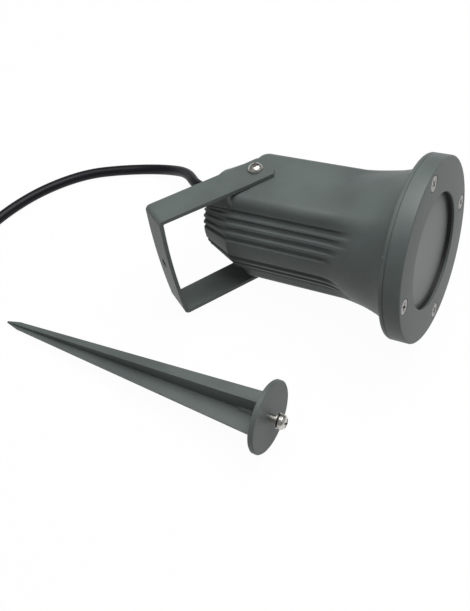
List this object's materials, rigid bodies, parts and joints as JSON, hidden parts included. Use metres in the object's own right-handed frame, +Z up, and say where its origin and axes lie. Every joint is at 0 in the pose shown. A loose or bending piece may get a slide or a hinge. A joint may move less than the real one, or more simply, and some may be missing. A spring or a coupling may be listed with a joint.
{
  "type": "garden spike spotlight",
  "caption": "Round outdoor spotlight with a glass front, a U bracket it tilts in, a ground spike with its screw, and a rubber mains lead.",
  "frame": {"origin": "on the surface that the set lies on, under the middle of the box round the lamp head, its bracket and the spike, without the lead", "axes": "+Z up from the surface; +X along the spike from its tip to its screw, and level with the lamp's axis towards its glass; the lead runs off towards -X"},
  "size_m": [0.3503, 0.1815, 0.0908],
  "materials": {
    "body_paint": "dark grey-green powder coat",
    "bracket_paint": "dark grey-green powder coat",
    "spike_paint": "dark grey-green powder coat",
    "stainless": "bright",
    "dark_steel": "blackened",
    "zinc_steel": "zinc plated",
    "brass": "plain",
    "tinned": "tin plated",
    "frosted_glass": "frosted",
    "clear_glass": "clear",
    "reflector": "bright",
    "ceramic": "glazed",
    "white_plastic": "matte",
    "seal_rubber": "matte",
    "cable_rubber": "matte",
    "brown_insulation": "smooth",
    "blue_insulation": "smooth",
    "earth_insulation": "smooth"
  },
  "bodies": {
    "head": {"bracket_screws": "zinc_steel", "cable": "cable_rubber", "cable_coil": "cable_rubber", "cable_core_blue": "blue_insulation", "cable_core_brown": "brown_insulation", "cable_core_earth": "earth_insulation", "cable_grommet": "seal_rubber", "cable_inner": "cable_rubber", "core_ferrules": "tinned", "earth_screw": "brass", "earth_tag": "tinned", "front_ring": "body_paint", "gu10_base": "ceramic", "gu10_cover": "clear_glass", "gu10_pins": "brass", "gu10_reflector": "reflector", "holder_bracket": "zinc_steel", "holder_screws": "zinc_steel", "housing": "body_paint", "lamp_holder": "ceramic", "lead_blue": "blue_insulation", "lead_brown": "brown_insulation", "lead_earth": "earth_insulation", "lead_lamp_live": "brown_insulation", "lead_lamp_neutral": "blue_insulation", "lens_gasket": "seal_rubber", "lens_glass": "frosted_glass", "pivot_screws": "stainless", "pivot_washers": "seal_rubber", "ring_screws": "stainless", "seat_seal": "seal_rubber", "terminal_block": "white_plastic", "terminal_clamps": "zinc_steel", "terminal_screw": "zinc_steel"},
    "bracket": {"u_bracket": "bracket_paint"},
    "spike": {"spike": "spike_paint"},
    "spike_screw": {"spike_screw": "stainless", "spike_flat_washer": "stainless", "spike_spring_washer": "dark_steel"}
  },
  "joints": [
    {"name": "head_tilt", "type": "hinge", "parent": "head", "child": "bracket", "pos_m": [0.00487, 0.0354, 0.03207], "axis": [-0.1572, 0.1036, 0.9821], "range_deg": [-55, 78]},
    {"name": "spike_lift", "type": "slide", "parent": "head", "child": "spike", "axis": [0, 0, 1], "range_m": [0, 0.06]},
    {"name": "spike_screw_out", "type": "slide", "parent": "spike", "child": "spike_screw", "axis": [0.9944, 0, 0.1054], "range_m": [-0.003, 0.008]}
  ]
}
